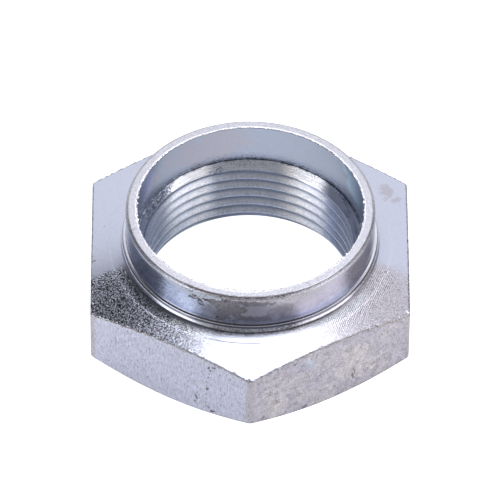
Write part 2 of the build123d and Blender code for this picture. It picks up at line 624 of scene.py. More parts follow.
class NodeSheet:
    """Puts nodes into one tree with short calls."""

    def __init__(self, tree: bpy.types.NodeTree) -> None:
        """Args:
            tree: the tree that the nodes go into.
        """
        self.tree = tree

    def add(self, kind: str, **settings: object) -> bpy.types.Node:
        """Adds a node.

        Args:
            kind: the node's type.
            settings: properties to set on it.

        Returns:
            The node.
        """
        node = self.tree.nodes.new(kind)
        for name, value in settings.items():
            setattr(node, name, value)
        return node

    def put(self, value: object, socket: bpy.types.NodeSocket) -> None:
        """Links a source, or writes a number, a vector or a colour, into an input.

        Args:
            value: the source.
            socket: the input.
        """
        source = value.socket if isinstance(value, Reading) else value
        if isinstance(source, bpy.types.NodeSocket):
            self.tree.links.new(source, socket)
        elif socket.type == "RGBA" and len(source) == 3:
            socket.default_value = (*source, 1)
        else:
            socket.default_value = source

    def read(self, socket: bpy.types.NodeSocket) -> object:
        """Makes a reading of a number's output. Any other output stays as it is."""
        return Reading(self, socket) if socket.type == "VALUE" else socket

    def math(self, operation: str, *values: object, clamp: bool = False) -> Reading:
        """Adds a sum of numbers.

        Args:
            operation: the Math node's operation.
            values: its inputs.
            clamp: whether the result stays within 0 and 1.

        Returns:
            The result.
        """
        node = self.add("ShaderNodeMath", operation=operation, use_clamp=clamp)
        for value, socket in zip(values, node.inputs):
            self.put(value, socket)
        return Reading(self, node.outputs[0])

    def scale(self, vector: object, factor: object) -> bpy.types.NodeSocket:
        """Makes a vector longer or shorter.

        Args:
            vector: the vector.
            factor: what it is multiplied by.

        Returns:
            The new vector.
        """
        node = self.add("ShaderNodeVectorMath", operation="SCALE")
        self.put(vector, node.inputs[0])
        self.put(factor, node.inputs["Scale"])
        return node.outputs["Vector"]

    def dot(self, first: object, second: object) -> Reading:
        """Adds the dot product of two vectors.

        Args:
            first: a vector.
            second: a vector.

        Returns:
            The product.
        """
        node = self.add("ShaderNodeVectorMath", operation="DOT_PRODUCT")
        self.put(first, node.inputs[0])
        self.put(second, node.inputs[1])
        return Reading(self, node.outputs["Value"])

    def split(self, vector: object) -> tuple[Reading, ...]:
        """Takes a vector apart into X, Y and Z.

        Args:
            vector: the vector.

        Returns:
            The three numbers.
        """
        node = self.add("ShaderNodeSeparateXYZ")
        self.put(vector, node.inputs["Vector"])
        return tuple(Reading(self, socket) for socket in node.outputs)

    def join(self, x: object, y: object, z: object) -> bpy.types.NodeSocket:
        """Puts X, Y and Z together into a vector.

        Args:
            x: the first number.
            y: the second number.
            z: the third number.

        Returns:
            The vector.
        """
        node = self.add("ShaderNodeCombineXYZ")
        for value, socket in zip((x, y, z), node.inputs):
            self.put(value, socket)
        return node.outputs["Vector"]

    def noise(self, vector: object, scale: object, detail: float, roughness: float) -> Reading:
        """Adds a noise texture.

        Args:
            vector: where it is read.
            scale: how fine it is.
            detail: how many finer layers it has.
            roughness: how strong the finer layers are.

        Returns:
            Its value, mostly between 0.3 and 0.7.
        """
        node = self.add("ShaderNodeTexNoise", noise_dimensions="3D")
        inputs = {"Vector": vector, "Scale": scale, "Detail": detail, "Roughness": roughness}
        for name, value in inputs.items():
            self.put(value, node.inputs[name])
        return Reading(self, node.outputs[0])

    def mix(self, share: object, first: object, second: object, kind: str = "MIX") -> bpy.types.NodeSocket:
        """Mixes two colours.

        Args:
            share: share of the second one.
            first: a colour.
            second: a colour.
            kind: how they are mixed.

        Returns:
            The mixed colour.
        """
        node = self.add("ShaderNodeMix", data_type="RGBA", blend_type=kind)
        inputs = {socket.identifier: socket for socket in node.inputs}
        for name, value in {"Factor_Float": share, "A_Color": first, "B_Color": second}.items():
            self.put(value, inputs[name])
        return next(socket for socket in node.outputs if socket.identifier == "Result_Color")

    def cover(self, colour: object, *layers: tuple[object, object]) -> object:
        """Lays colours over a colour in order, each with its own share.

        Args:
            colour: the lowest colour.
            layers: each layer's share and its colour.

        Returns:
            The colour that shows.
        """
        for share, layer in layers:
            colour = self.mix(share, colour, layer)
        return colour


@dataclass(frozen=True)
class Mark:
    """A stain, pit, nick or scratch. Lengths are in millimetres, angles in degrees.

    Attributes:
        turn: angle round the axis, from +X towards +Y.
        reach: height above the bearing face, or distance from the axis if it lies on top.
        length: its size along the way it runs.
        width: its size across that way.
        lean: the way it runs: 0 is round the nut, 90 is up a wall or outwards on the top.
        strength: how plain it is, from 0 to 1.
        on_top: whether it lies on the top face, and not on a wall.
    """

    turn: float
    reach: float
    length: float
    width: float
    lean: float
    strength: float
    on_top: bool = False

    def spread(self) -> dict[str, Vector]:
        """Where the mark lies.

        Returns:
            Its centre, and the ways along and across it, each divided by half its size. On a wall, the centre
            is put at the flats' distance from the axis, because only its turn and height count.
        """
        angle = math.radians(self.turn)
        outward = Vector((math.cos(angle), math.sin(angle), 0))
        level = Vector((-math.sin(angle), math.cos(angle), 0))
        upright = outward if self.on_top else Vector((0, 0, 1))
        centre = upright * self.reach + (Vector() if self.on_top else outward * CAD_HIGH.x / MM)
        lean = math.radians(self.lean)
        along = math.cos(lean) * level + math.sin(lean) * upright
        across = -math.sin(lean) * level + math.cos(lean) * upright
        return {"centre": centre, "along": along * (2 / self.length), "across": across * (2 / self.width)}


def wall_marks(*rows: tuple[float, ...]) -> tuple[Mark, ...]:
    """Marks on a wall. Each row has turn, height, length, width, lean and strength."""
    return tuple(Mark(*row) for row in rows)


def top_marks(*rows: tuple[float, ...]) -> tuple[Mark, ...]:
    """Marks on the top face. Each row has turn, distance from the axis, length, width, lean and strength."""
    return tuple(Mark(*row, on_top=True) for row in rows)


class EffectGroup:
    """A shader node group that more than one finish uses, built once."""

    def __init__(self, name: str, inputs: dict[str, str], outputs: dict[str, str]) -> None:
        """Args:
            name: the group's name.
            inputs: each input's name, with its kind.
            outputs: each output's name, with its kind.
        """
        self.tree = bpy.data.node_groups.new(name, "ShaderNodeTree")
        for way, sockets in (("INPUT", inputs), ("OUTPUT", outputs)):
            for label, kind in sockets.items():
                self.tree.interface.new_socket(label, in_out=way, socket_type=kind)
        self.sheet = NodeSheet(self.tree)
        sources = self.sheet.add("NodeGroupInput").outputs
        self.inputs = {label: self.sheet.read(sources[label]) for label in inputs}
        self.outputs = self.sheet.add("NodeGroupOutput").inputs

    def give(self, **values: object) -> None:
        """Feeds each output that is named."""
        for label, value in values.items():
            self.sheet.put(value, self.outputs[label])

    def into(self, sheet: NodeSheet, **values: object) -> dict[str, object]:
        """Places the group in a material.

        Args:
            sheet: the material's tree.
            values: a source for each input. Underscores stand for spaces.

        Returns:
            The group's outputs there.
        """
        node = sheet.add("ShaderNodeGroup", node_tree=self.tree)
        for label, value in values.items():
            sheet.put(value, node.inputs[label.replace("_", " ").capitalize()])
        return {socket.name: sheet.read(socket) for socket in node.outputs}


class Effects:
    """The node groups that the finishes share."""

    def __init__(self) -> None:
        """Builds every group."""
        self.spot_on_nut = self.build_place()
        self.grain = self.build_grain()
        self.tool_marks = self.build_tool_marks()
        self.mottle = self.build_mottle()
        self.mark = self.build_mark()

    def build_place(self) -> EffectGroup:
        """Where a point lies on the nut: in millimetres, and turned to run along the nearest flat.

        Returns:
            The group.
        """
        group = EffectGroup("place_on_nut", {}, {"Position": VECTOR, "Radius": NUMBER, "Round": VECTOR,
                                                 "Flat": VECTOR, "Height": NUMBER})
        sheet = group.sheet
        position = sheet.scale(sheet.add("ShaderNodeTexCoord").outputs["Object"], 1 / MM)
        x, y, z = sheet.split(position)
        radius = sheet.math("SQRT", x * x + y * y)
        angle = sheet.math("ARCTAN2", y, x)
        sixth = math.pi / 3
        middle = sheet.math("ROUND", angle / sixth) * sixth
        along = radius * sheet.math("SINE", angle - middle)
        far_apart = 50.0
        side = (sheet.math("COSINE", middle) + sheet.math("SINE", middle)) * far_apart
        group.give(Position=position, Radius=radius, Round=sheet.join(x / radius, y / radius, 0.0),
                   Flat=sheet.join(along, z, side), Height=z)
        return group

    def build_grain(self) -> EffectGroup:
        """Fine crystals of the plating, in three dimensions.

        Returns:
            The group.
        """
        group = EffectGroup("plating_grain", {"Position": VECTOR, "Per millimetre": NUMBER,
                                              "Contrast": NUMBER}, {"Grain": NUMBER, "Bumps": NUMBER})
        bumps = group.sheet.noise(group.inputs["Position"], group.inputs["Per millimetre"], 1.5, 0.6) - 0.5
        grain = group.sheet.math("ADD", bumps * group.inputs["Contrast"], 0.5, clamp=True)
        group.give(Grain=grain, Bumps=bumps)
        return group

    def build_tool_marks(self) -> EffectGroup:
        """Fine grooves that a turning tool or a draw die leaves: long one way and narrow the other.

        Returns:
            The group.
        """
        group = EffectGroup("tool_marks", {"Run": VECTOR, "Across": NUMBER, "Length": NUMBER,
                                           "Pitch": NUMBER}, {"Groove": NUMBER})
        sheet = group.sheet
        mean_radius = 20.0
        per_run = sheet.math("DIVIDE", mean_radius, group.inputs["Length"])
        x, y, z = sheet.split(sheet.scale(group.inputs["Run"], per_run))
        step = group.inputs["Across"] / group.inputs["Pitch"]
        group.give(Groove=sheet.noise(sheet.join(x, y, z + step), 1.0, 2.0, 0.6) - 0.5)
        return group

    def build_mottle(self) -> EffectGroup:
        """Cloudy patches with uneven borders.

        Returns:
            The group.
        """
        group = EffectGroup("mottle", {"Position": VECTOR, "Per millimetre": NUMBER, "Start": NUMBER,
                                       "Full": NUMBER}, {"Share": NUMBER})
        sheet, start = group.sheet, group.inputs["Start"]
        noise = sheet.noise(group.inputs["Position"], group.inputs["Per millimetre"], 5.0, 0.6)
        group.give(Share=sheet.math("DIVIDE", noise - start, group.inputs["Full"] - start, clamp=True))
        return group

    def build_mark(self) -> EffectGroup:
        """One stain, pit or scratch with a ragged border, on the near side of the nut only.

        Returns:
            The group.
        """
        group = EffectGroup("mark", {"Position": VECTOR, "Centre": VECTOR, "Along": VECTOR, "Across": VECTOR,
                                     "Ragged": NUMBER, "Strength": NUMBER, "Before": NUMBER},
                            {"Share": NUMBER})
        sheet, position, centre = group.sheet, group.inputs["Position"], group.inputs["Centre"]
        off = sheet.add("ShaderNodeVectorMath", operation="SUBTRACT")
        sheet.put(position, off.inputs[0])
        sheet.put(centre, off.inputs[1])
        along = sheet.dot(off.outputs["Vector"], group.inputs["Along"])
        across = sheet.dot(off.outputs["Vector"], group.inputs["Across"])
        away = sheet.math("SQRT", along * along + across * across) + group.inputs["Ragged"] * 2.2
        same_side = sheet.dot(position, centre).ramp(100.0, 200.0)
        inside = away.ramp(1.3, 0.6) * group.inputs["Strength"] * same_side
        group.give(Share=inside.most(group.inputs["Before"]))
        return group


class Finishing:
    """Common ground of the nut's finishes: a metal material and what varies over it."""

    name: str = "zinc"

    def __init__(self, effects: Effects, body: NutBody) -> None:
        """Args:
            effects: the shared node groups.
            body: the nut, for its radii and heights.
        """
        self.effects = effects
        self.body = body
        self.material = bpy.data.materials.new(self.name)
        self.material.use_nodes = True
        self.sheet = NodeSheet(self.material.node_tree)
        self.shader = self.sheet.tree.nodes["Principled BSDF"]
        self.shader.inputs["Metallic"].default_value = 1.0
        spot = effects.spot_on_nut.into(self.sheet)
        self.position, self.round, self.flat = spot["Position"], spot["Round"], spot["Flat"]
        self.radius, self.height = spot["Radius"], spot["Height"]

    def grain(self, per_millimetre: float, contrast: float, where: object = None) -> tuple[Reading, Reading]:
        """Grain of the plating.

        Args:
            per_millimetre: how fine it is.
            contrast: how hard its light and dark parts are.
            where: place to read it at. The place on the nut if none is given.

        Returns:
            The grain from 0 to 1, and its bumps about 0.
        """
        where = self.position if where is None else where
        outputs = self.effects.grain.into(self.sheet, position=where, per_millimetre=per_millimetre,
                                          contrast=contrast)
        return outputs["Grain"], outputs["Bumps"]

    def bumps(self, per_millimetre: float, where: object = None) -> Reading:
        """Only the bumps of such a grain."""
        return self.grain(per_millimetre, 2.0, where)[1]

    def rings(self, across: Reading, length: float, pitch: float) -> Reading:
        """Tool marks round the axis, about 0.

        Args:
            across: the way across them.
            length: how long they are.
            pitch: how far they are apart, in millimetres.

        Returns:
            The height of the marks.
        """
        return self.effects.tool_marks.into(self.sheet, run=self.round, across=across, length=length,
                                            pitch=pitch)["Groove"]

    def clouds(self, per_millimetre: float, start: float, full: float) -> Reading:
        """Cloudy patches.

        Args:
            per_millimetre: how fine they are.
            start: the noise at which a patch starts.
            full: the noise at which it is full.

        Returns:
            How strongly they show, from 0 to 1.
        """
        return self.effects.mottle.into(self.sheet, position=self.position, per_millimetre=per_millimetre,
                                        start=start, full=full)["Share"]

    def marks(self, marks: tuple[Mark, ...], ragged: Reading) -> Reading:
        """Places several marks.

        Args:
            marks: the marks.
            ragged: noise about 0 that makes their borders uneven.

        Returns:
            How strongly any of them shows, from 0 to 1.
        """
        share = 0.0
        for mark in marks:
            share = self.effects.mark.into(self.sheet, position=self.position, ragged=ragged,
                                           strength=mark.strength, before=share, **mark.spread())["Share"]
        return share

    def facing(self, turn: float) -> Reading:
        """How much a point lies towards a turn, in degrees: 1 if just there, and -1 if on the other side."""
        angle = math.radians(turn)
        return self.sheet.dot(self.round, (math.cos(angle), math.sin(angle), 0.0))

    def off_middle(self) -> Reading:
        """How far a point lies to the left or right of the bore's middle, which shows 0.6 mm to the left."""
        return abs(self.sheet.split(self.position)[0] + 0.6)

    def stretch_gloss(self, amount: float) -> None:
        """Draws the gloss out along the axis, across the marks that run round it."""
        self.shader.inputs["Anisotropic"].default_value = amount
        self.sheet.put(self.sheet.join(0.0, 0.0, 1.0), self.shader.inputs["Tangent"])

    def finish(self, colour: object, shade: Reading, roughness: object, height: Reading) -> None:
        """Sets what the surface looks like.

        Args:
            colour: its colour.
            shade: what the colour is darkened or lightened by.
            roughness: its roughness.
            height: its small relief, in millimetres.
        """
        sheet = self.sheet
        shaded = sheet.mix(1.0, colour, sheet.join(shade, shade, shade), "MULTIPLY")
        sheet.put(shaded, self.shader.inputs["Base Color"])
        sheet.put(roughness, self.shader.inputs["Roughness"])
        bump = sheet.add("ShaderNodeBump")
        bump.inputs["Strength"].default_value = 1.0
        bump.inputs["Distance"].default_value = 1.0
        sheet.put(height * MM, bump.inputs["Height"])
        sheet.put(bump.outputs["Normal"], self.shader.inputs["Normal"])

    def paint(self) -> None:
        """Sets how colour, roughness and relief vary over the surface."""
        raise NotImplementedError

    def dress(self) -> bpy.types.Material:
        """Paints the material and gives it."""
        self.paint()
        return self.material


class ConeFinish(Finishing):
    """The upper cone: turned, then plated. Its plating is grainy like sand on one side and cross-hatched on
    another. It has painted highlights by the root and on the turned line, and painted shade at the root and
    over the grainy side.
    """

    name = "turned_zinc"
    colour: Triple = (0.565, 0.60, 0.735)
    cloudy_colour: Triple = (0.60, 0.61, 0.71)
    # Colour of the sandy grain, darkened as painted shade.
    sandy_shade_colour: Triple = (0.52, 0.54, 0.64)
    warm_colour: Triple = (0.545, 0.53, 0.60)
    # Colour of the painted highlight crescents by the root.
    crescent_highlight_colour: Triple = (0.80, 0.84, 0.98)
    stain_colour: Triple = (0.43, 0.40, 0.44)
    edge_colour: Triple = (0.30, 0.27, 0.25)
    # Colour of the painted shade at the root.
    dark_colour: Triple = (0.10, 0.10, 0.12)
    roughness: float = 0.23
    stains: tuple[Mark, ...] = top_marks(
        (28.3, 25.6, 3.4, 2.3, 20, 0.75), (23.2, 26.2, 2.0, 1.3, 60, 0.7), (24.5, 24.6, 1.2, 0.7, 40, 0.5),
    )
    pits: tuple[Mark, ...] = top_marks(
        (342.7, 23.2, 0.5, 0.28, 70, 0.8), (339.1, 24.9, 0.35, 0.25, 20, 0.8),
        (337.3, 26.3, 0.4, 0.22, 50, 0.8), (189.0, 26.0, 0.8, 0.3, 90, 0.9),
        (262.0, 24.6, 0.7, 0.08, 15, 0.7), (251.5, 25.4, 0.5, 0.10, 60, 0.7),
        (282.0, 25.0, 0.9, 0.07, 35, 0.6), (167.0, 26.5, 0.4, 0.3, 0, 0.5), (172.0, 24.2, 0.5, 0.2, 40, 0.4),
    )

    def off_flats(self, x: Reading, y: Reading) -> Reading:
        """How far inside the hexagon's nearest flat a point lies, in millimetres.

        Args:
            x: its place along X.
            y: its place along Y.

        Returns:
            The distance.
        """
        half_y = y * (math.sqrt(3) / 2)
        half_x = x * 0.5
        nearest = abs(x).most(abs(half_x + half_y).most(abs(half_x - half_y)))
        return self.body.across_flats / 2 - nearest

    def paint(self) -> None:
        """Sets how colour, roughness and relief vary over the surface."""
        sheet, body, radius = self.sheet, self.body, self.radius
        x, y, z = sheet.split(self.position)
        ragged = self.bumps(1.6)
        coarse_grain, coarse = self.grain(4.0, 6.5)
        fine = self.bumps(6.0)
        wavy = self.bumps(0.4) * 0.10
        off_root = radius.ramp(21.35, 21.75)
        # Sandy grain from about 195 to 245 degrees round. Its colour and the mean of its shade are also
        # darker there: painted shade over the real grain.
        sandy_and_shaded = (self.facing(285) + wavy).ramp(0.0, 0.07)
        sandy_and_shaded = sandy_and_shaded * (self.facing(205.8) + wavy).ramp(0.40, 0.78)
        warm = self.facing(323.9).ramp(0.68, 0.90)
        warm = warm * (self.facing(75) + wavy).ramp(0.08, -0.08)
        hatched = self.facing(322.3).ramp(0.90, 0.96) * radius.ramp(25.6, 24.0) * off_root
        bent = ragged * 3.0
        crossed = sheet.math("SINE", sheet.dot(self.position, (0.91, 0.42, 0.0)) * 17.0 + bent)
        crossed = crossed * sheet.math("SINE", sheet.dot(self.position, (0.31, -0.95, 0.0)) * 15.0 + bent)
        crossed = crossed * hatched
        stained = self.marks(self.stains, ragged)
        pitted = self.marks(self.pits, ragged)
        off_edge = self.off_flats(x, y)
        worn = (fine * -1.1 + (ragged * -0.5 + off_edge)).ramp(0.14, 0.03)
        rolled = off_edge.ramp(0.36, 0.10) * fine.ramp(-0.07, 0.02)
        # Painted shade: the crease at the root under the step, and a band at the root's foot towards the
        # front and front sides, take dark_colour.
        below_step = z.ramp(body.root_step_top - 0.04, body.root_step_top - 0.12)
        grime_and_shade = radius.ramp(body.root_radius + 0.06, body.root_radius + 0.01) * below_step
        front = (self.facing(272) + wavy).ramp(0.925, 0.955)
        sides = abs(self.facing(2)).ramp(0.74, 0.80) * y.ramp(-4.0, -8.0)
        foot = (ragged * 0.9 + radius).ramp(21.75, 21.35) * front.most(sides * 0.6)
        foot = foot * below_step * fine.ramp(0.12, -0.08)
        # Painted highlight: near-white crescents just outside the root, at about 242 and 310 degrees round.
        crescent_highlight = self.facing(242).ramp(0.972, 0.992)
        crescent_highlight = crescent_highlight.most(self.facing(310).ramp(0.93, 0.98) * 0.6)
        crescent_highlight = crescent_highlight * (off_root * radius.ramp(23.0, 22.7))
        colour = sheet.cover(
            self.colour, (self.clouds(0.16, 0.35, 0.7) * 0.3, self.cloudy_colour), (sandy_and_shaded, self.sandy_shade_colour),
            (warm, self.warm_colour), (crescent_highlight, self.crescent_highlight_colour), (stained * 0.8, self.stain_colour),
            (pitted * 0.8, self.edge_colour), (worn * 0.8, self.edge_colour),
            ((grime_and_shade * 0.75).most(foot * 0.9), self.dark_colour),
        )
        harsh = self.facing(205.8).ramp(0.66, 0.97)
        speckle = sandy_and_shaded * off_root * (harsh * 0.92 + 0.31) + warm * (hatched * 0.14 + 0.26)
        # The speckle lowers the mean shade: painted shade on the sandy side.
        light = (coarse_grain - 0.5) * speckle + (speckle * -0.22 + 0.98)
        line = abs(ragged * 0.06 + radius - body.line_radius).ramp(0.11, 0.05)
        # Painted highlight on the turned line at about 236 degrees round, and painted shade on it at about
        # 265.
        line_highlight = self.facing(236).ramp(0.95, 0.985)
        line_shade = self.facing(265).ramp(0.975, 0.99)
        light = light + line * (line_highlight * 0.75 - line_shade * 0.45)
        light = light + fine * (speckle * 1.2 + 0.30) + crossed * 0.70
        roughness = coarse_grain * 0.04 + stained * 0.15 - sandy_and_shaded * 0.04 + self.roughness
        height = coarse * (speckle * 0.014 + 0.003) + fine * (speckle * 0.009 + 0.002)
        height = height + self.rings(radius, 7.0, 0.11) * 0.003 + crossed * 0.004
        height = height + rolled * (off_edge * 0.75 - 0.26) - pitted * 0.04 - worn * 0.02
        self.finish(colour, light, roughness, height)


class RimFinish(Finishing):
    """The collar's rim, faced and lightly marked, with a bright torn inner edge and a dirty outer one."""

    name = "rim_zinc"
    colour: Triple = (0.50, 0.505, 0.57)
    bright_colour: Triple = (0.86, 0.85, 0.93)
    grime_and_shade_colour: Triple = (0.14, 0.12, 0.13)
    roughness: float = 0.28
    chamfer_radius: float = 19.99
    nicks: tuple[Mark, ...] = top_marks(
        (194.4, 19.6, 1.3, 0.12, 80, 1.0), (298.8, 19.3, 1.6, 0.10, 75, 0.9),
        (316.0, 20.0, 0.7, 0.3, 10, 0.7), (322.0, 20.1, 0.9, 0.25, 0, 0.7), (150.0, 19.9, 0.5, 0.2, 20, 0.5),
    )

    def paint(self) -> None:
        """Sets how colour, roughness and relief vary over the surface."""
        radius = self.radius
        ragged = self.bumps(1.8)
        fine_grain, fine = self.grain(4.5, 4.0)
        inner = ragged * 0.35 + (radius - self.body.counterbore_radius)
        dots = inner.ramp(0.20, 0.08) * fine.ramp(0.02, -0.10)
        front = self.facing(264.3).ramp(0.84, 0.93)
        off_edge = abs(fine * 0.7 + (ragged * 0.5 + (radius - self.chamfer_radius)))
        dirty = (off_edge - front * 0.09).ramp(0.12, 0.03) * (front * 0.45 + 0.45)
        sloped = radius.ramp(self.chamfer_radius - 0.02, self.chamfer_radius + 0.04)
        dirty = dirty.most(sloped * fine.ramp(0.14, -0.14) * 0.42)
        grime_and_shade = dots.most(dirty).most(self.marks(self.nicks, ragged))
        colour = self.sheet.cover(self.colour, (inner.ramp(0.34, 0.16), self.bright_colour),
                                  (grime_and_shade * 0.85, self.grime_and_shade_colour))
        height = self.rings(radius, 3.0, 0.12) * 0.006 + fine * 0.012 - grime_and_shade * 0.02
        self.finish(colour, fine_grain * 0.34 + 0.82, grime_and_shade * 0.1 + self.roughness, height)


class CollarFinish(Finishing):
    """The collar's outer wall: smooth, with brown stains and a dark blue foot. Its ledge is brighter, with a
    painted white highlight on one side and painted shade under its edge. A band at the wall's right edge is a
    painted highlight.
    """

    name = "collar_zinc"
    colour: Triple = (0.51, 0.56, 0.67)
    warm_colour: Triple = (0.56, 0.55, 0.605)
    stain_colour: Triple = (0.21, 0.195, 0.215)
    spot_colour: Triple = (0.09, 0.075, 0.08)
    foot_colour: Triple = (0.19, 0.215, 0.325)
    ledge_colour: Triple = (0.66, 0.67, 0.74)
    # White of the painted highlight on the ledge.
    highlight_colour: Triple = (1.0, 1.0, 1.0)
    # Colour of the painted highlight along the wall's right edge.
    bright_colour: Triple = (0.70, 0.68, 0.74)
    roughness: float = 0.19
    stains: tuple[Mark, ...] = wall_marks(
        (252.3, 20.4, 2.6, 1.3, 0, 0.65), (258.6, 19.5, 4.6, 3.8, 84, 1.0), (256.2, 17.9, 3.0, 1.9, 80, 1.0),
        (262.6, 19.2, 2.6, 3.4, 0, 1.0), (263.5, 20.9, 6.0, 1.0, 0, 0.55), (274.0, 20.6, 6.0, 1.2, 0, 0.35),
        (284.0, 18.6, 5.0, 3.0, 20, 0.2), (270.0, 17.2, 8.0, 1.6, 0, 0.3),
    )
    spots: tuple[Mark, ...] = wall_marks(
        (243.6, 20.2, 1.9, 0.9, 25, 0.9), (246.3, 19.5, 1.2, 1.9, 30, 1.0), (248.5, 20.3, 1.5, 0.6, 0, 0.6),
        (250.3, 19.3, 0.5, 0.5, 0, 0.6), (254.5, 17.0, 0.7, 0.4, 20, 0.8), (260.1, 17.1, 0.6, 0.4, 10, 0.6),
        (258.6, 20.9, 0.9, 0.5, 30, 0.7),
    )

    def paint(self) -> None:
        """Sets how colour, roughness and relief vary over the surface."""
        sheet, height = self.sheet, self.height
        x = sheet.split(self.position)[0]
        ragged = self.bumps(0.85)
        small_grain, small = self.grain(2.6, 4.0)
        fine_grain, fine = self.grain(5.0, 3.0)
        uneven = small * 0.6 + ragged
        stained = self.marks(self.stains, uneven)
        border = stained.ramp(0.05, 0.35) * stained.ramp(0.95, 0.60)
        stained = stained.ramp(0.15, 0.62) * (small_grain * 0.22 + 0.70)
        spotted = self.marks(self.spots, uneven).ramp(0.15, 0.50) * (small.ramp(0.08, -0.05) * 0.70 + 0.30)
        drips = (small * 4.0 + height).ramp(20.6, 21.6) * fine.ramp(0.05, -0.10)
        drips = drips * sheet.dot(self.position, (-0.10, -0.995, 0.0)).ramp(16.0, 19.0)
        foot = (ragged * 1.2 + height).ramp(18.6, 16.2)
        # Painted shade under the ledge's rounded edge, in spot_colour.
        shade_under_ledge = height.ramp(self.body.root_step_top - 0.09, self.body.root_step_top - 0.16)
        # Painted highlight: the ledge turns white at about 234 degrees round.
        ledge_highlight = self.facing(234).ramp(0.89, 0.965)
        ledge_colour = sheet.mix(ledge_highlight, self.ledge_colour, self.highlight_colour)
        # A lighter band along the wall's right edge, in bright_colour, is a painted highlight.
        colour = sheet.cover(
            self.colour, (x.ramp(-9.0, 2.0), self.warm_colour), (foot * 0.7, self.foot_colour),
            (x.ramp(19.4, 20.2), self.bright_colour), (stained * 0.9, self.stain_colour),
            (border * 0.40, self.spot_colour), (spotted.most(drips * 0.8) * 0.9, self.spot_colour),
            (self.radius.ramp(20.40, 20.45), ledge_colour), (shade_under_ledge * 0.85, self.spot_colour),
        )
        shade = fine_grain * 0.16 + 0.86 + self.clouds(0.22, 0.35, 0.65) * 0.10
        relief = self.rings(height, 5.0, 0.12) * 0.002 + fine * 0.004
        self.finish(colour, shade, stained * 0.16 + self.roughness, relief)


